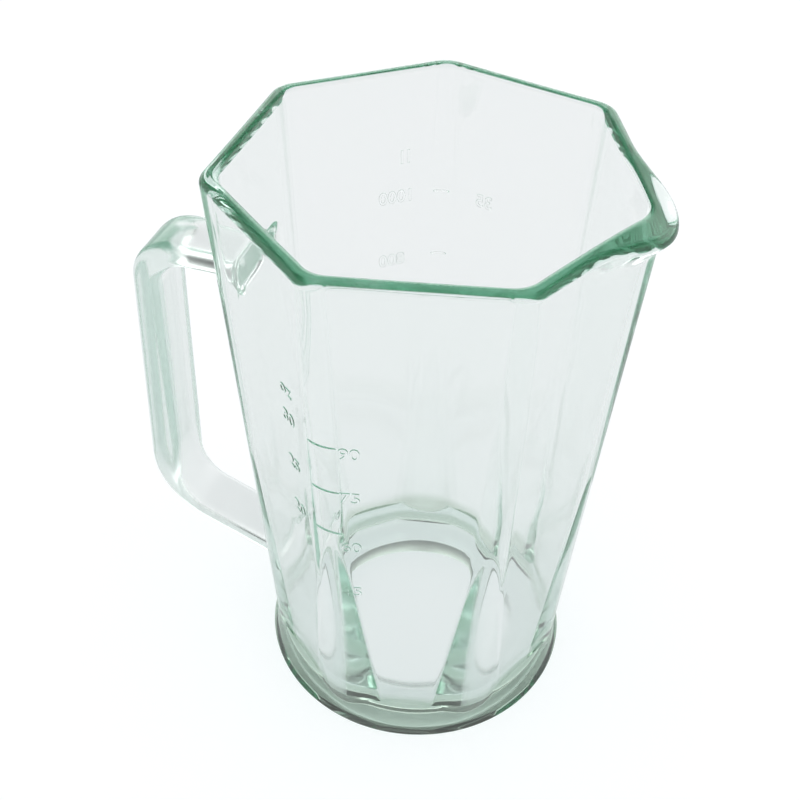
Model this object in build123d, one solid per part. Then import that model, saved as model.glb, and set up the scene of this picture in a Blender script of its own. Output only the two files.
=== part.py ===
"""Pressed glass jar of a kitchen blender, in millimetres, +Z up.

The jar is one pressing: a seven-sided body that widens upwards, a pouring lip on the corner at +X, a strap
handle on the flat side at -X, and a round foot with a sloping toe. The floor has a round hole for a blade unit.
The origin is the centre of the hole, in the plane that the foot stands on.
"""

import math
import os

from build123d import *

# Body
side_count = 7
height = 193.0
rim_circumradius = 63.5
base_circumradius = 52.6
rim_wall = 4.8
base_wall = 5.0
outer_rim_corner_round = 8.0
outer_base_corner_round = 20.0
inner_rim_corner_round = 6.0
inner_base_corner_round = 9.0
rim_round = 2.1

# Foot with a leaning side and a toe that slopes out from it
foot_radius = 49.8
foot_low_radius = 51.9
foot_height = 11.5
foot_edge_round = 0.8
toe_radius = 53.0
toe_height = 2.2
toe_land = 0.6

# Floor, and the hole in it for the blade unit
floor_height = 6.0
hole_radius = 32.5

# Thick glass in the lower inside corners: axis to its faces at the floor, and the height at which it runs out
corner_fill_reach = 42.0
corner_fill_height = 92.0

# Pouring lip: its plan, its depth below the rim, and the arc in which the rim dips to it
lip_overhang = 4.6
lip_tip_radius = 20.0
lip_half_angle = 41.0
lip_run = 36.0
lip_edge_depth = 4.5
lip_flare_depth = 10.0
lip_dip_radius = 80.0
lip_dip_start = 38.0

# Handle: heights above the foot, reaches from the jar's axis
handle_width = 20.0
handle_top = 154.5
handle_top_reach = 92.7
handle_low_corner = 41.6
handle_low_reach = 98.0
handle_low_joint = 20.5
grip_thickness_top = 9.3
grip_thickness_low = 11.2
arm_height_top = 8.0
arm_height_low = 6.5
handle_outer_round_top = 16.0
handle_outer_round_low = 30.0
handle_inner_round_top = 9.0
handle_inner_round_low = 15.0
handle_edge_round = 2.9
handle_root_round = 4.5
handle_sink = 2.0

# How far a cutting shape passes the surface that it cuts, and the most of a thickness that one rounding takes
overcut = 5.0
round_share = 0.45
strap_round_share = 0.498

half_side = math.pi / side_count
flat_share = math.cos(half_side)
flare_bottom = height - lip_edge_depth - lip_flare_depth


def outer_apothem(z):
    """Centre to outside flat at height z, on a straight taper."""
    return (base_circumradius + (rim_circumradius - base_circumradius) * z / height) * flat_share


def inner_apothem(z):
    """Centre to inside flat at height z: the wall thins from the base to the rim."""
    return outer_apothem(z) - base_wall - (rim_wall - base_wall) * z / height


def outer_corner_round(z):
    """Radius of the outside corners at height z, rounder towards the base."""
    return outer_base_corner_round + (outer_rim_corner_round - outer_base_corner_round) * z / height


def inner_corner_round(z):
    """Radius of the inside corners at height z, rounder towards the base."""
    return inner_base_corner_round + (inner_rim_corner_round - inner_base_corner_round) * z / height


def corner_reach(apothem, corner_round):
    """Centre to the middle of a rounded corner."""
    return (apothem - corner_round) / flat_share + corner_round


def polar(radius, angle, z):
    """Point at a radius and an angle in radians round the jar's axis."""
    return Vector(radius * math.cos(angle), radius * math.sin(angle), z)


def arc_about(centre, radius, middle_angle, half_angle):
    """Arc round a centre, counter-clockwise, half of it on each side of its middle."""
    turns = (middle_angle - half_angle, middle_angle, middle_angle + half_angle)
    return ThreePointArc(*[centre + polar(radius, turn, 0) for turn in turns])


def corner_arc(apothem, corner_round, corner, z):
    """Rounded corner of the many-sided outline, corner 0 being at +X."""
    middle_angle = 2 * half_side * corner
    centre = polar((apothem - corner_round) / flat_share, middle_angle, z)
    return arc_about(centre, corner_round, middle_angle, half_side)


def many_sided(apothem, corner_round, z):
    """Face at height z with flat sides and rounded corners."""
    arcs = [corner_arc(apothem, corner_round, corner, z) for corner in range(side_count)]
    edges = []
    for arc, following in zip(arcs, arcs[1:] + arcs[:1]):
        edges += [arc, Line(arc @ 1, following @ 0)]
    return make_face(edges)


def lipped(z, share):
    """Outside of the body at height z, its +X corner drawn out into a share of the lip.

    The tip is an arc about a point on the X axis. A curve on each side leaves the arc in line with it and runs
    into the flat in line with that.
    """
    apothem = outer_apothem(z)
    corner_round = outer_corner_round(z)
    tip_radius = corner_round + (lip_tip_radius - corner_round) * share
    half_angle = half_side + (math.radians(lip_half_angle) - half_side) * share
    tip_centre = Vector(corner_reach(apothem, corner_round) + lip_overhang * share - tip_radius, 0, z)
    tip = arc_about(tip_centre, tip_radius, 0, half_angle)

    along_flat = polar(1, half_side + math.pi / 2, 0)
    along_tip = polar(1, half_angle + math.pi / 2, 0)
    tip_end = tip @ 1
    flat_start = Vector(apothem / flat_share, 0, z) + along_flat * lip_run
    pull = (flat_start - tip_end).length / 3
    flank = [tip_end, tip_end + along_tip * pull, flat_start - along_flat * pull, flat_start]
    mirrored_flank = [Vector(point.X, -point.Y, point.Z) for point in reversed(flank)]

    arcs = [corner_arc(apothem, corner_round, corner, z) for corner in range(1, side_count)]
    edges = [tip, Bezier(*flank), Line(flat_start, arcs[0] @ 0)]
    for arc, following in zip(arcs, arcs[1:]):
        edges += [arc, Line(arc @ 1, following @ 0)]
    edges += [arcs[-1], Line(arcs[-1] @ 1, mirrored_flank[0]), Bezier(*mirrored_flank)]
    return make_face(edges)


def outer_body():
    """Solid taper that flares smoothly into the lip and runs straight through the lip's edge."""
    flare_steps = 6
    flare = []
    for step in range(flare_steps + 1):
        rise = step / flare_steps
        flare.append(lipped(flare_bottom + lip_flare_depth * rise, (1 - math.cos(math.pi * rise)) / 2))
    below = loft([lipped(0, 0), flare[0]], ruled=True)
    above = loft([flare[-1], lipped(height + overcut, 1)], ruled=True)
    return below + loft(flare) + above


def foot():
    """Foot turned about the jar's axis, with its top edge rounded, solid until the inside is cut."""
    toe = [(toe_radius, 0), (toe_radius, toe_land), (foot_low_radius, toe_height)]
    outline = [(0, 0), *toe, (foot_radius, foot_height), (0, foot_height)]
    solid = revolve(make_face(Polyline(*[(radius, 0, z) for radius, z in outline], close=True)), Axis.Z)
    top_edge = solid.edges().sort_by(Axis.Z)[-1]
    return fillet(top_edge, min(foot_edge_round, round_share * (foot_height - toe_height)))


def crossing(first, second, third, fourth):
    """Point of the XZ plane where the line through two points meets the line through two others."""
    along = second - first
    across = fourth - third
    gap = third - first
    share = (gap.X * across.Z - gap.Z * across.X) / (along.X * across.Z - along.Z * across.X)
    return first + along * share


def handle():
    """Strap of one width in the plane of the lip, thickest at the grip, its ends sunk in the flat side."""

    def in_wall(z):
        return Vector(-outer_apothem(z) + handle_sink, 0, z)

    outer_top = Vector(-handle_top_reach, 0, handle_top)
    outer_low = Vector(-handle_low_reach, 0, handle_low_corner)
    low_end = in_wall(handle_low_joint)
    inner_low_end = in_wall(handle_low_joint + arm_height_low)
    inner_top_end = in_wall(handle_top - arm_height_top)
    inner_grip = [outer_top + Vector(grip_thickness_top, 0, 0), outer_low + Vector(grip_thickness_low, 0, 0)]
    inner_top = crossing(*inner_grip, inner_top_end, inner_top_end + Vector(1, 0, 0))
    inner_low = crossing(*inner_grip, inner_low_end, inner_low_end + outer_low - low_end)
    corner_rounds = [
        (in_wall(handle_top), 0),
        (outer_top, handle_outer_round_top),
        (outer_low, handle_outer_round_low),
        (low_end, 0),
        (inner_low_end, 0),
        (inner_low, handle_inner_round_low),
        (inner_top, handle_inner_round_top),
        (inner_top_end, 0),
    ]
    corners, rounds = zip(*corner_rounds)
    outer_line = FilletPolyline(*corners[:4], radius=rounds[1:3])
    inner_line = FilletPolyline(*corners[4:], radius=rounds[5:7])
    thinnest = outer_line.distance_to(inner_line)
    outline = make_face(FilletPolyline(*corners, radius=rounds, close=True))
    strap = extrude(outline, handle_width / 2, dir=(0, 1, 0), both=True)
    end_edges = strap.faces().sort_by(Axis.X)[-2:].edges()
    flank_edges = [edge for edge in strap.faces().filter_by(Axis.Y).edges() if edge not in end_edges]
    return fillet(flank_edges, min(handle_edge_round, strap_round_share * thinnest))


def inside():
    """Space in the jar: flat sides, faces that lean out across the lower corners, and the hole in the floor."""
    top = height + 2 * overcut
    flats = loft([many_sided(inner_apothem(z), inner_corner_round(z), z) for z in (floor_height, top)], ruled=True)
    fill_end = corner_reach(inner_apothem(corner_fill_height), inner_corner_round(corner_fill_height))
    fill_slope = (fill_end - corner_fill_reach) / (corner_fill_height - floor_height)
    fill_faces = []
    for z in (floor_height, top):
        reach = corner_fill_reach + fill_slope * (z - floor_height)
        fill_faces.append(Pos(0, 0, z) * RegularPolygon(reach / flat_share, side_count, rotation=180 / side_count))
    hole = Pos(0, 0, -overcut) * extrude(Circle(hole_radius), floor_height + 2 * overcut)
    return (flats & loft(fill_faces, ruled=True)) + hole


def under_rim():
    """All the space below the rim's plane and below the arc in which the rim dips to the lip."""
    reach = 2 * (handle_low_reach + rim_circumradius)
    dip_turn = math.radians(45)
    dip_start = Vector(lip_dip_start, 0, height)
    dip_end = dip_start + Vector(math.sin(dip_turn), 0, math.cos(dip_turn) - 1) * lip_dip_radius
    dip = TangentArc(dip_start, dip_end, tangent=(1, 0, 0))
    rest = Polyline(dip_end, (dip_end.X, 0, -overcut), (-reach, 0, -overcut), (-reach, 0, height), dip_start)
    return extrude(make_face([dip, rest]), reach, dir=(0, 1, 0), both=True)


def round_rim(jar):
    """Rounds the inner and outer edges of the rim, along its level face and along its dip to the lip."""
    level, dip = jar.faces().filter_by(lambda face: face.center().Z > flare_bottom and face.normal_at().Z > 0.7)
    seam = [edge for edge in level.edges() if edge in dip.edges()]
    rim_edges = [edge for edge in level.edges() + dip.edges() if edge not in seam]
    return fillet(rim_edges, min(rim_round, round_share * rim_wall))


body = outer_body() + foot()
strap = handle()
joined = body + strap
joined = fillet(new_edges(body, strap, combined=joined), handle_root_round)
glass_jar = round_rim((joined - inside()) & under_rim())

os.makedirs("parts", exist_ok=True)
export_step(glass_jar, "parts/glass_jar.step")
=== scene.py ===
import bmesh
import bpy
import numpy as np
from mathutils import Matrix


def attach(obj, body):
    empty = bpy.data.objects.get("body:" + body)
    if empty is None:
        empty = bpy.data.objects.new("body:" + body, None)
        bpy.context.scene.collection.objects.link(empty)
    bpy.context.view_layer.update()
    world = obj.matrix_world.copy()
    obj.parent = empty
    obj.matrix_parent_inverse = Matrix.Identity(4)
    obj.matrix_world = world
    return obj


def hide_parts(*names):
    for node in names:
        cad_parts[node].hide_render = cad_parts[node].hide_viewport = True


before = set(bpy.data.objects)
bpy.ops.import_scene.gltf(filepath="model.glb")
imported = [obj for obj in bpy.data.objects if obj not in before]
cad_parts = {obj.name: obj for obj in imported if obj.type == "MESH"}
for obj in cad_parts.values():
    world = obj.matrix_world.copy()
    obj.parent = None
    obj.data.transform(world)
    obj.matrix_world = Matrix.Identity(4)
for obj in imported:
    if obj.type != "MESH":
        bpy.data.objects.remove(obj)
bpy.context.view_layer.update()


# The jar's body is pressed from pale green glass in a mould with seven flat sides and a tapered plunger.
# Its rim is fire-polished, one corner is drawn out into a lip, and the plunger's flat faces leave thick
# glass in the lower corners. A round foot carries it, and its floor has a hole for the blade unit.

height = 0.193
side_count = 7
last_side = side_count - 1
half_side = np.pi / side_count
base_circumradius, circumradius_gain = 0.0526, 0.0109
base_wall, wall_loss = 0.0050, 0.0002
outer_base_round, outer_round_loss = 0.020, 0.012
inner_base_round, inner_round_loss = 0.012, 0.003
wave_height = 0.00002
toe_radius, toe_height, toe_round = 0.0530, 0.0022, 0.0006
foot_radius, foot_low_radius, foot_height, foot_round = 0.0498, 0.0519, 0.0115, 0.0008
floor_height, hole_radius, hole_round = 0.0060, 0.0325, 0.0003
corner_fill_reach, corner_fill_height = 0.0420, 0.092
rim_round = 0.0021
lip_overhang, lip_tip_radius, lip_half_angle, lip_run = 0.0046, 0.020, np.radians(41), 0.036
lip_edge_depth, lip_flare_depth, lip_dip_radius, lip_dip_start = 0.0045, 0.010, 0.080, 0.038

arc_columns, flat_columns = 14, 20
arc_turns = np.linspace(-1, 1, arc_columns + 1)[:-1]
flat_runs = np.linspace(0, 1, flat_columns + 1)[:-1]
turn = np.tile(np.append(arc_turns, np.ones(flat_columns)), side_count)
run = np.tile(np.append(np.zeros(arc_columns), flat_runs), side_count)
side = np.repeat(np.arange(side_count), arc_columns + flat_columns)
corner_angle = 2 * half_side * side
on_flat = np.tile(np.append(np.zeros(arc_columns, bool), np.ones(flat_columns, bool)), side_count)


def plan_direction(angle):
    """Unit vector in plan at an angle from the lip, as a last axis of x and y."""
    return np.stack([np.cos(angle), np.sin(angle)], axis=-1)


def outer_apothem(z):
    """Axis to outside flat: a straight taper from the base to the rim."""
    return (base_circumradius + circumradius_gain * z / height) * np.cos(half_side)


def inner_apothem(z):
    """Axis to inside flat: the outside's, less a wall that thins from the base to the rim."""
    return outer_apothem(z) - base_wall + wall_loss * z / height


def outer_round(z):
    """Radius of the outside corners, which grow rounder downwards."""
    return outer_base_round - outer_round_loss * z / height


def inner_round(z):
    """Radius of the inside corners, which grow rounder downwards."""
    return inner_base_round - inner_round_loss * z / height


def outside(z):
    """Outside in plan for heights z, one column for each point round the jar.

    A rounded corner is an arc about a point on the corner's ray, and the flat is the line on to the next
    arc. At the lip the corner's arc swells with the lip's share, and on the flats beside it a cubic curve
    leads from the arc's end into the flat, in line with both.
    """
    apothem, rounding = outer_apothem(z)[..., None], outer_round(z)[..., None]
    reach = (apothem - rounding) / np.cos(half_side)
    here, following = plan_direction(corner_angle), plan_direction(corner_angle + 2 * half_side)
    plain = reach * here + rounding * plan_direction(corner_angle + turn * half_side)
    plain = plain + run[:, None] * reach * (following - here)

    rise = np.clip((z - height + lip_edge_depth + lip_flare_depth) / lip_flare_depth, 0, 1)[..., None]
    share = (1 - np.cos(np.pi * rise)) / 2
    radius = rounding + (lip_tip_radius - rounding) * share
    half_angle = half_side + (lip_half_angle - half_side) * share
    tip_centre = (reach + rounding + lip_overhang * share - radius) * plan_direction(0)
    tip = tip_centre + radius * plan_direction((turn[:, None] * half_angle)[..., 0])

    mirrored = np.where(side == last_side, -1, 1)[:, None]
    along = np.where(side == last_side, 1 - run, run)[:, None]
    bend_share = 0.68
    bend = np.clip(along / bend_share, 0, 1)
    straight = np.clip((along - bend_share) / (1 - bend_share), 0, 1)
    tip_end = tip_centre + radius * plan_direction(half_angle[..., 0])
    flat_way = plan_direction(half_side + np.pi / 2)
    flat_start = apothem / np.cos(half_side) * plan_direction(0) + lip_run * flat_way
    flat_end = reach * plan_direction(2 * half_side) + rounding * plan_direction(half_side)
    pull = np.linalg.norm(flat_start - tip_end, axis=-1, keepdims=True) / 3
    leave = tip_end + pull * plan_direction(half_angle[..., 0] + np.pi / 2)
    arrive = flat_start - pull * flat_way
    flank = (1 - bend) ** 3 * tip_end + 3 * (1 - bend) ** 2 * bend * leave
    flank = flank + 3 * (1 - bend) * bend**2 * arrive + bend**3 * flat_start
    flank = flank + straight * (flat_end - flat_start)
    flank = flank * np.concatenate([np.ones_like(mirrored), mirrored], axis=1)

    shape = np.where(((side == 0) & ~on_flat)[:, None], tip, plain)
    return np.where((on_flat & ((side == 0) | (side == last_side)))[:, None], flank, shape)


def inside(z):
    """Inside in plan for heights z: flats that end at a rounded corner, or at the face that cuts it off.

    That face is square to the corner's ray and leans outwards, and it runs out into the corner at the fill's
    height. The corner's columns close up with it, so that the edge between face and flat runs along the grid.
    The flats carry three faint sine waves that wind round the jar.
    """
    angle = corner_angle + half_side * (turn + 2 * run * on_flat)
    wave = np.sin(3 * angle + 70 * z) + np.sin(4 * angle - 52 * z + 1) + np.sin(2 * angle + 118 * z + 2)
    apothem = inner_apothem(z) + wave_height * wave
    rounding, fill_round = inner_round(z), inner_round(corner_fill_height)
    fill_end = (inner_apothem(corner_fill_height) - fill_round) / np.cos(half_side) + fill_round
    rise = (z - floor_height) / (corner_fill_height - floor_height)
    fill = corner_fill_reach + (fill_end - corner_fill_reach) * rise
    reach = (apothem - rounding) / np.cos(half_side)
    arc_start = np.arctan2((apothem - rounding) * np.tan(half_side), apothem)
    fill_start = np.arctan2((fill - apothem * np.cos(half_side)) / np.sin(half_side), apothem)
    spread = half_side - np.minimum(arc_start, fill_start)
    off_corner = np.abs(turn) * spread
    arc = reach * np.cos(off_corner)
    arc = arc + np.sqrt(np.maximum(rounding**2 - (reach * np.sin(off_corner)) ** 2, 0))
    flat = apothem / np.cos(half_side - off_corner)
    radius = np.where(off_corner <= half_side - arc_start, arc, flat)
    radius = np.minimum(radius, fill / np.cos(off_corner))
    start = flat[..., None] * plan_direction(corner_angle + spread)
    end = flat[..., None] * plan_direction(corner_angle + 2 * half_side - spread)
    return radius[..., None] * plan_direction(corner_angle + turn * spread) + run[:, None] * (end - start)


def dip(x):
    """How far the rim lies below its level part: an arc that leaves the level on the way to the lip."""
    past = np.clip(x - lip_dip_start, 0, None)
    return lip_dip_radius - np.sqrt(lip_dip_radius**2 - past**2)


def raised(plan, z):
    """Points in space from points in plan and their heights."""
    return np.concatenate([plan, np.broadcast_to(z, plan.shape[:-1])[..., None]], axis=-1)


def sealed(name, meshes):
    """One mesh of several closed ones, with doubled points made one and all normals outwards."""
    edit = bmesh.new()
    for mesh in meshes:
        edit.from_mesh(mesh)
    bmesh.ops.remove_doubles(edit, verts=edit.verts, dist=1e-6)
    bmesh.ops.recalc_face_normals(edit, faces=edit.faces)
    whole = bpy.data.meshes.new(name)
    edit.to_mesh(whole)
    edit.free()
    return whole


def closed_mesh(name, points, caps=False):
    """Mesh of a grid of points that closes round its columns, and round its rows or by a cap at each end."""
    rows, columns = points.shape[:2]
    number = np.arange(rows * columns).reshape(rows, columns)
    ahead = np.roll(number, -1, axis=1)
    faces = np.stack([number, ahead, np.roll(ahead, -1, axis=0), np.roll(number, -1, axis=0)], axis=-1)
    faces = (faces[:-1] if caps else faces).reshape(-1, 4).tolist()
    if caps:
        faces += [number[0].tolist(), number[-1].tolist()]
    mesh = bpy.data.meshes.new(name)
    mesh.from_pydata(points.reshape(-1, 3).tolist(), [], faces)
    return sealed(name, [mesh])


def placed(name, mesh):
    """Object for a mesh, at the origin."""
    piece = bpy.data.objects.new(name, mesh)
    bpy.context.scene.collection.objects.link(piece)
    return piece


# The rim's dip hangs on how far out the wall lies, and that on the height, so both are found by turns.
outer_top = np.full(turn.shape, height - rim_round)
inner_top = outer_top
for step in range(4):
    outer_top = height - rim_round - dip(outside(outer_top[None])[0, :, 0])
    inner_top = height - rim_round - dip(inside(inner_top[None])[0, :, 0])

low_rise, middle_rise = np.linspace(0, 0.05, 25)[:-1], np.linspace(0.05, 0.88, 36)[:-1]
outer_rise = np.concatenate([low_rise, middle_rise, np.linspace(0.88, 1, 34)])[:, None]
outer_z = foot_height + (outer_top - foot_height) * outer_rise
inner_z = floor_height + (inner_top - floor_height) * np.linspace(1, 0, 90)[:, None]


def rim_rows():
    """Rim from the outside to the inside: a quarter round, the rim's dipping top, and a quarter round."""
    outer_edge, inner_edge = outside(outer_top[None])[0], inside(inner_top[None])[0]
    across = np.linalg.norm(inner_edge - outer_edge, axis=-1)
    quarter = rim_round * (1 - np.cos(np.linspace(0, np.pi / 2, 9)))[1:, None]
    middle = rim_round + (across - 2 * rim_round) * np.linspace(0, 1, 7)[1:-1, None]
    way = np.concatenate([quarter + 0 * across, middle, across - quarter[::-1]])
    plan = outer_edge + (way / across)[..., None] * (inner_edge - outer_edge)
    from_edge = np.clip(rim_round - np.minimum(way, across - way), 0, None)
    drop = rim_round - np.sqrt(rim_round**2 - from_edge**2)
    return raised(plan, height - dip(plan[..., 0]) - drop)


def foot_rows():
    """Hole's rounded edges, foot face, toe, leaning side and its rounded edge, as a radius and a height each.

    Where the body's corners reach out past the leaning side, the side follows them.
    """
    bends = np.linspace(0, np.pi / 2, 7)
    lean = np.linspace(0, 1, 9)[:-1]
    hole_r = hole_radius + hole_round * (1 - np.cos(np.append(bends[::-1], bends)))
    hole_top = floor_height - hole_round * (1 - np.sin(bends[::-1]))
    hole_z = np.append(hole_top, hole_round * (1 - np.sin(bends)))
    toe_r = toe_radius - toe_round * (1 - np.sin(bends))
    toe_z = toe_round * (1 - np.cos(bends))
    side_r = foot_low_radius + (foot_radius - foot_low_radius) * lean
    side_z = toe_height + (foot_height - foot_round - toe_height) * lean
    edge_r = foot_radius - foot_round * (1 - np.cos(bends))
    edge_z = foot_height - foot_round * (1 - np.sin(bends))
    radius = np.concatenate([hole_r, toe_r, side_r, edge_r])[:, None]
    z = np.concatenate([hole_z, toe_z, side_z, edge_z])[:, None]
    wall, body = inside(np.full((1, turn.size), floor_height))[0], outside(z)
    in_hole = np.arange(z.size)[:, None] < hole_r.size
    angle = np.where(in_hole, np.arctan2(wall[:, 1], wall[:, 0]), np.arctan2(body[..., 1], body[..., 0]))
    reached = np.linalg.norm(body, axis=-1)
    radius = np.where(in_hole | (z < toe_height), radius, np.maximum(radius, reached))
    return raised(radius[..., None] * plan_direction(angle), z)


body_rows = [
    foot_rows(),
    raised(outside(outer_z), outer_z),
    rim_rows(),
    raised(inside(inner_z), inner_z),
]
jar = placed("pressed_jar", closed_mesh("pressed_jar", np.concatenate(body_rows)))


# The handle is a solid strap of the same glass, pressed in one with the body on the flat side opposite the
# lip. It is thickest at the grip, its edges are rounded, and it swells where it runs into the wall.

strap_half_width, strap_round, strap_sink = 0.010, 0.0031, 0.002
root_round, root_cut = 0.0048, 0.0003
wall_crowding = 2.2


def in_wall(z):
    """Point of the strap's plane just inside the flat side, with x and z as one complex number."""
    return strap_sink - outer_apothem(z) + 1j * z


def strap_line(ends, corners, rounds):
    """Line in the strap's plane through two corners, each rounded by an arc tangent to both its runs.

    Points are complex numbers. An arc turns its first radius by the angle between the runs. The runs at the
    wall have their points closest together there.
    """
    stops = [ends[0], *corners, ends[1]]
    pieces, start = [], ends[0]
    for number, rounding in enumerate(rounds, 1):
        before = (stops[number] - stops[number - 1]) / abs(stops[number] - stops[number - 1])
        after = (stops[number + 1] - stops[number]) / abs(stops[number + 1] - stops[number])
        turning = np.angle(after / before)
        arc_start = stops[number] - before * rounding * abs(np.tan(turning / 2))
        centre = arc_start + 1j * before * rounding * np.sign(turning)
        arc = centre + (arc_start - centre) * np.exp(1j * turning * np.linspace(0, 1, 25))
        crowding = wall_crowding if number == 1 else 1.0
        pieces += [start + (arc_start - start) * np.linspace(0, 1, 41)[:-1] ** crowding, arc[:-1]]
        start = arc[-1]
    last_run = start + (ends[1] - start) * (1 - np.linspace(1, 0, 41) ** wall_crowding)
    return np.concatenate(pieces + [last_run])


def strap():
    """Rounded rectangle carried between the strap's outer and inner line, as wide as the strap.

    Its thickness is the distance between the lines. Near the wall each point moves outwards along the
    section's normal on a circle that is nearly tangent to the wall.
    """
    outer_corners = [-0.0927 + 0.1545j, -0.0980 + 0.0416j]
    grip = [outer_corners[0] + 0.0093, outer_corners[1] + 0.0112]
    outer_ends = [in_wall(0.1545), in_wall(0.0205)]
    inner_ends = [in_wall(0.1465), in_wall(0.0270)]
    grip_way = grip[1] - grip[0]
    low_way = outer_corners[1] - outer_ends[1]
    inner_high = grip[0] + grip_way * (inner_ends[0] - grip[0]).imag / grip_way.imag
    gap = inner_ends[1] - grip[0]
    against = low_way.conjugate()
    inner_low = grip[0] + grip_way * (gap * against).imag / (grip_way * against).imag
    outer = strap_line(outer_ends, outer_corners, (0.016, 0.030))
    inner = strap_line(inner_ends, [inner_high, inner_low], (0.009, 0.015))

    quarters = np.linspace(0, np.pi / 2, 8)
    facing = (np.arange(4)[:, None] * np.pi / 2 + quarters).ravel()
    out_sign = np.repeat([1, -1, -1, 1], quarters.size)
    side_sign = np.repeat([1, 1, -1, -1], quarters.size)
    middle, thick = ((outer + inner) / 2)[:, None], np.abs(outer - inner)[:, None]
    out_way = ((outer - inner) / np.abs(outer - inner))[:, None]
    core = middle + out_way * out_sign * (thick / 2 - strap_round)
    skin = core + out_way * strap_round * np.cos(facing)
    from_wall = np.clip(-skin.real - outer_apothem(skin.imag), 0, root_round - root_cut)
    bent = root_round - root_cut - from_wall
    swell = strap_round + root_round - np.sqrt(root_round**2 - bent**2)
    skin = core + out_way * swell * np.cos(facing)
    across = side_sign * (strap_half_width - strap_round) + swell * np.sin(facing)
    return np.stack([skin.real, across, skin.imag], axis=-1)


def fuse(piece, other):
    """Makes two closed pieces one skin, without the walls between them."""
    join = piece.modifiers.new("join", "BOOLEAN")
    join.operation, join.solver, join.object = "UNION", "MANIFOLD", other
    skin = bpy.data.meshes.new_from_object(piece.evaluated_get(bpy.context.evaluated_depsgraph_get()))
    piece.modifiers.clear()
    piece.data = skin
    bpy.data.objects.remove(other)


fuse(jar, placed("strap", closed_mesh("strap", strap(), caps=True)))


# The scale is raised on the outside in the same pressing. Half-round lines run across two corners, with
# plain numerals beside them: ounces and centilitres at the near one, ounces and millilitres at the far one.

line_radius = 0.00042
columns_each_way = 40
numeral_size, numeral_depth, numeral_bevel, numeral_sink = 0.0062, 0.0005, 0.00012, 0.00034


def line_mark(corner, z, before, beyond):
    """Half-round line on the outside at height z, from a way before a corner's middle to a way beyond it.

    A circle is carried along the outside's plan, its centre on the surface. Its radius falls off at the ends.
    """
    first = corner * (arc_columns + flat_columns) + arc_columns // 2
    plan = np.roll(outside(np.array([[z]]))[0], columns_each_way - first, axis=0)[: 2 * columns_each_way]
    way = np.append(0, np.cumsum(np.linalg.norm(np.diff(plan, axis=0), axis=-1)))
    share = np.linspace(-0.998, 0.998, 41)
    stop = way[columns_each_way] - before + (before + beyond) * (share + 1) / 2
    path = np.stack([np.interp(stop, way, plan[:, 0]), np.interp(stop, way, plan[:, 1])], axis=-1)
    along = np.gradient(path, axis=0)
    along = along / np.linalg.norm(along, axis=-1, keepdims=True)
    outward = np.stack([along[:, 1], -along[:, 0]], axis=-1)[:, None]
    round_way = np.linspace(0, 2 * np.pi, 13)[:-1, None]
    size = line_radius * np.sqrt(1 - np.abs(share) ** 6)[:, None, None]
    across = path[:, None] + size * np.cos(round_way) * outward
    return closed_mesh("line", raised(across, (z + size * np.sin(round_way))[..., 0]), caps=True)


def numeral(writing, face, along, z):
    """Raised writing, upright on an outside flat a way along from its middle, its back inside the wall."""
    curve = bpy.data.curves.new("numeral", "FONT")
    curve.body, curve.size, curve.align_x, curve.align_y = writing, numeral_size, "CENTER", "CENTER"
    curve.extrude, curve.bevel_depth = numeral_depth, numeral_bevel
    curve.bevel_resolution, curve.resolution_u = 0, 3
    shown = placed("numeral", curve)
    mesh = bpy.data.meshes.new_from_object(shown.evaluated_get(bpy.context.evaluated_depsgraph_get()))
    bpy.data.objects.remove(shown)
    slope = (outer_apothem(height) - outer_apothem(0)) / height
    out = np.append(plan_direction((2 * face + 1) * half_side), 0)
    front = (out - [0, 0, slope]) / np.hypot(1, slope)
    up = (slope * out + [0, 0, 1]) / np.hypot(1, slope)
    right = np.cross(up, front)
    centre = outer_apothem(z) * out + [0, 0, z] + along * right - numeral_sink * front
    axes = np.column_stack([right, up, front, centre])
    mesh.transform(Matrix(np.vstack([axes, [0, 0, 0, 1]]).tolist()))
    return mesh


ounces = (("oz", 0.148), ("30", 0.137), ("25", 0.119), ("20", 0.100))
centilitres = (("90", 0.135), ("75", 0.117), ("60", 0.095), ("45", 0.0736))
millilitres = (("1l", -0.013, 0.1625), ("1000", -0.0095, 0.1486), ("800", -0.0076, 0.125))
marks = [line_mark(5, z, 0.0035, 0.0055) for z in (0.137, 0.119, 0.101)]
marks += [line_mark(2, z, 0.003, 0.0035) for z in (0.1486, 0.125)]
marks += [numeral(writing, 4, 0.0125, z) for writing, z in ounces]
marks += [numeral(writing, 5, -0.017, z) for writing, z in centilitres]
marks += [numeral(writing, 2, along, z) for writing, along, z in millilitres]
marks.append(numeral("35", 1, 0.010, 0.1486))
fuse(jar, placed("marks", sealed("marks", marks)))


# Finish of the pressed glass: clear soda-lime with a green cast that grows with the light's way through it.
# Its skin keeps the mould's faint waves. The strap and the lower wall are a little dull, the hole's wall is
# ground, and the foot's outer side carries painted shade, a darker and greener colour for the shade under it.


class Wire:
    """One socket of a material's nodes, so that values are worked out with plain operators."""

    def __init__(self, tree, socket):
        self.tree, self.socket = tree, socket

    def math(self, operation, first, second):
        """Wire for a Math node's result."""
        made = add_node(self.tree, "ShaderNodeMath", {"operation": operation})
        for place, value in enumerate((first, second)):
            feed(self.tree, made.inputs[place], value)
        return Wire(self.tree, made.outputs[0])

    def __add__(self, other):
        return self.math("ADD", self, other)

    def __radd__(self, other):
        return self.math("ADD", other, self)

    def __sub__(self, other):
        return self.math("SUBTRACT", self, other)

    def __rsub__(self, other):
        return self.math("SUBTRACT", other, self)

    def __mul__(self, other):
        return self.math("MULTIPLY", self, other)

    def __rmul__(self, other):
        return self.math("MULTIPLY", other, self)


def feed(tree, socket, value):
    """Links a wire to a socket, or sets a plain value on it."""
    if isinstance(value, Wire):
        tree.links.new(value.socket, socket)
    else:
        socket.default_value = value


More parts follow.
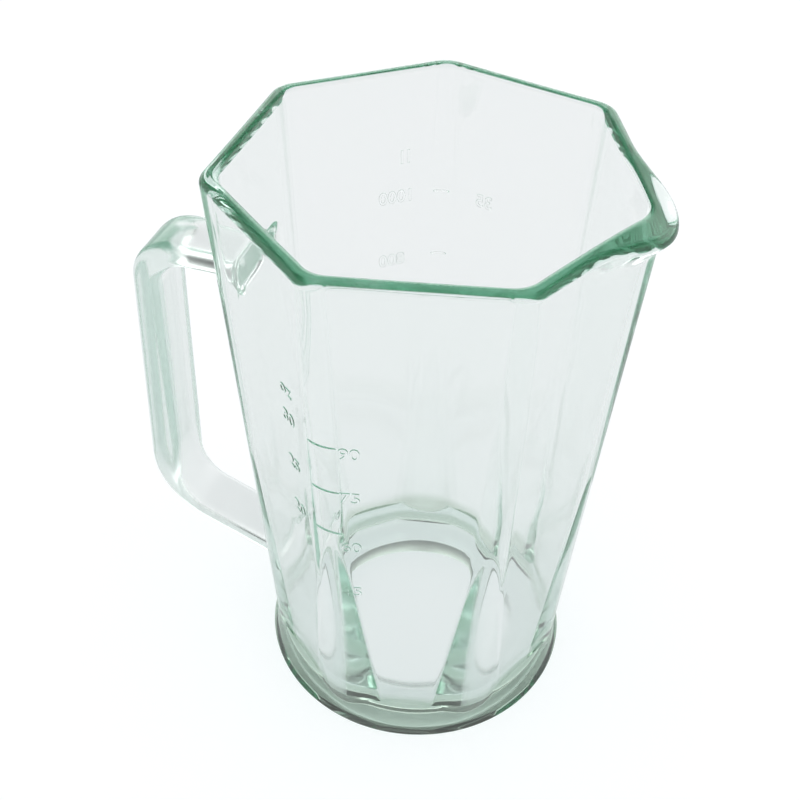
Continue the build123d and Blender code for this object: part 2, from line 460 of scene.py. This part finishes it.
def add_node(tree, kind, settings=None, **sockets):
    """Adds a node to a tree, sets its settings, then its sockets, an underscore standing for a space."""
    made = tree.nodes.new(kind)
    for name, value in (settings or {}).items():
        setattr(made, name, value)
    for name, value in sockets.items():
        feed(tree, made.inputs[name.replace("_", " ")], value)
    return made


glass = bpy.data.materials.new("pressed_green_glass")
glass.use_nodes = True
tree = glass.node_tree
tree.nodes.clear()
place = Wire(tree, add_node(tree, "ShaderNodeTexCoord").outputs["Object"])
waves = add_node(tree, "ShaderNodeTexNoise", Vector=place, Scale=38.0, Detail=1.0, Roughness=0.4)
wave_rise = Wire(tree, waves.outputs["Fac"])
ripple = add_node(tree, "ShaderNodeBump", Height=wave_rise, Strength=0.05, Distance=0.002)
haze = add_node(tree, "ShaderNodeTexNoise", Vector=place, Scale=160.0, Detail=3.0)
spot = add_node(tree, "ShaderNodeSeparateXYZ", Vector=place)
along, aside, up = [Wire(tree, spot.outputs[name]) for name in ("X", "Y", "Z")]
from_axis_squared = along * along + aside * aside


def eased(value, start, end):
    """Wire that goes smoothly from 0 to 1 while a value goes from a start to an end."""
    spread = {"From_Min": start, "From_Max": end}
    settings = {"interpolation_type": "SMOOTHSTEP"}
    ranged = add_node(value.tree, "ShaderNodeMapRange", settings, Value=value, **spread)
    return Wire(value.tree, ranged.outputs["Result"])


on_strap = eased(along, -0.062, -0.074)
low_down = eased(up, 0.090, 0.040)
in_foot = eased(up, 0.018, 0.012)
in_hole = eased(from_axis_squared, 0.0335**2, 0.0330**2)
outer_side = eased(from_axis_squared, 0.0460**2, 0.0485**2)
dullness = 0.004 + 0.02 * Wire(tree, haze.outputs["Fac"])
dullness = dullness + 0.14 * on_strap + 0.06 * (low_down - in_foot) + 0.50 * in_hole
mix_share, mix_first, mix_second, mix_result = 0, 6, 7, 2
# Painted shade: the foot's outer side gets a darker, greener colour for the shade under and round the foot.
foot_painted_shade = add_node(tree, "ShaderNodeMix", {"data_type": "RGBA"})
feed(tree, foot_painted_shade.inputs[mix_share], in_foot * outer_side)
feed(tree, foot_painted_shade.inputs[mix_first], (1.0, 1.0, 1.0, 1.0))
feed(tree, foot_painted_shade.inputs[mix_second], (0.50, 0.60, 0.50, 1.0))
body_glass = add_node(
    tree,
    "ShaderNodeBsdfPrincipled",
    Base_Color=Wire(tree, foot_painted_shade.outputs[mix_result]),
    Roughness=dullness,
    IOR=1.52,
    Transmission_Weight=1.0,
    Normal=Wire(tree, ripple.outputs["Normal"]),
)
let_light = add_node(tree, "ShaderNodeBsdfTransparent", Color=(0.965, 0.972, 0.975, 1.0))
ray = add_node(tree, "ShaderNodeLightPath")
light_ray = Wire(tree, ray.outputs["Is Shadow Ray"]) + Wire(tree, ray.outputs["Is Diffuse Ray"])
surface = add_node(tree, "ShaderNodeMixShader", Fac=light_ray)
tree.links.new(body_glass.outputs[0], surface.inputs[1])
tree.links.new(let_light.outputs[0], surface.inputs[2])
tint = add_node(tree, "ShaderNodeVolumeAbsorption", Color=(0.10, 0.63, 0.40, 1.0), Density=7.2)
finish = add_node(tree, "ShaderNodeOutputMaterial")
tree.links.new(surface.outputs[0], finish.inputs["Surface"])
tree.links.new(tint.outputs[0], finish.inputs["Volume"])

jar.data.materials.clear()
jar.data.materials.append(glass)
jar.data.polygons.foreach_set("use_smooth", np.ones(len(jar.data.polygons), bool))
jar.data.set_sharp_from_angle(angle=np.radians(32))
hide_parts("glass_jar")
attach(jar, "root")


# The table is a white sheet under the jar, and a white room lights both from all round. In the glass the
# room shows darker overhead, and its reflections have a bright low wall behind the jar.

table_reach, table_top = 6, -0.0003
table_corners = [(-table_reach, -table_reach), (table_reach, -table_reach)]
table_corners += [(table_reach, table_reach), (-table_reach, table_reach)]
floor_mesh = bpy.data.meshes.new("white_table")
floor_mesh.from_pydata([(x, y, table_top) for x, y in table_corners], [], [(0, 1, 2, 3)])
floor = placed("white_table", floor_mesh)
white = bpy.data.materials.new("white_table")
white.use_nodes = True
tree = white.node_tree
tree.nodes.clear()
sheet = add_node(tree, "ShaderNodeBsdfDiffuse", Color=(0.785, 0.795, 0.81, 1.0))
ray = add_node(tree, "ShaderNodeLightPath")
in_glass = Wire(tree, ray.outputs["Is Glossy Ray"]) + Wire(tree, ray.outputs["Is Transmission Ray"])
shine = 0.24 * Wire(tree, ray.outputs["Is Camera Ray"]) + 0.05 * in_glass
glow = add_node(tree, "ShaderNodeEmission", Color=shine, Strength=1.0)
lit_sheet = add_node(tree, "ShaderNodeAddShader")
tree.links.new(sheet.outputs[0], lit_sheet.inputs[0])
tree.links.new(glow.outputs[0], lit_sheet.inputs[1])
finish = add_node(tree, "ShaderNodeOutputMaterial")
tree.links.new(lit_sheet.outputs[0], finish.inputs["Surface"])
floor_mesh.materials.append(white)

room = bpy.data.worlds.new("white_room")
bpy.context.scene.world = room
room.use_nodes = True
tree = room.node_tree
tree.nodes.clear()
look = Wire(tree, add_node(tree, "ShaderNodeTexCoord").outputs["Generated"])
look_parts = add_node(tree, "ShaderNodeSeparateXYZ", Vector=look)
look_back, look_up = [Wire(tree, look_parts.outputs[name]) for name in ("Y", "Z")]
overhead = eased(look_up, 0.35, 0.70)
behind = eased(look_back, 0.50, 0.75)
on_low_wall = eased(look_up, 0.52, 0.47)
ray = add_node(tree, "ShaderNodeLightPath")
glossy, through = Wire(tree, ray.outputs["Is Glossy Ray"]), Wire(tree, ray.outputs["Is Transmission Ray"])
in_glass = glossy.math("MAXIMUM", glossy, through)
brightness = 1.0 - 0.92 * in_glass * overhead + glossy * behind * on_low_wall
light = add_node(tree, "ShaderNodeBackground", Color=brightness, Strength=1.0)
finish = add_node(tree, "ShaderNodeOutputWorld")
tree.links.new(light.outputs[0], finish.inputs["Surface"])


# The camera stands above the near side, a little to the lip's side, as the photograph's did. Its distance
# and its aim are in shares of the rim's reach, from the rim's centre.

azimuth, elevation, roll = np.radians(15.63), np.radians(30.55), np.radians(1.30)
rim_reach = 0.0635
eye_share, aside_share, down_share = 4.981, 0.108, 1.021
focal_share = 1162 / 800
rim_centre = np.array([0, 0, height])
level = np.array([np.cos(azimuth), np.sin(azimuth), 0])
ahead = np.array([-np.sin(azimuth), np.cos(azimuth), 0])
back = np.array([0, 0, np.sin(elevation)]) - np.cos(elevation) * ahead
upward = np.cross(back, level)
eye = rim_centre + eye_share * rim_reach * back
aim = rim_centre - rim_reach * (aside_share * level + down_share * upward)
forward = (aim - eye) / np.linalg.norm(aim - eye)
right = np.cross(forward, [0, 0, 1])
right = right / np.linalg.norm(right)
top = np.cross(right, forward)
image_right = np.cos(roll) * right + np.sin(roll) * top
image_top = np.cos(roll) * top - np.sin(roll) * right
lens = bpy.data.cameras.new("camera")
lens.sensor_width, lens.lens, lens.clip_start = 36.0, 36.0 * focal_share, 0.01
camera = placed("camera", lens)
camera_axes = np.column_stack([image_right, image_top, -forward, eye])
camera.matrix_world = Matrix(np.vstack([camera_axes, [0, 0, 0, 1]]).tolist())
bpy.context.scene.camera = camera
bpy.context.scene.view_settings.view_transform = "Standard"
bpy.context.scene.cycles.max_bounces = 64
bpy.context.scene.cycles.transmission_bounces = 64
bpy.context.scene.cycles.glossy_bounces = 64
bpy.context.scene.cycles.transparent_max_bounces = 32
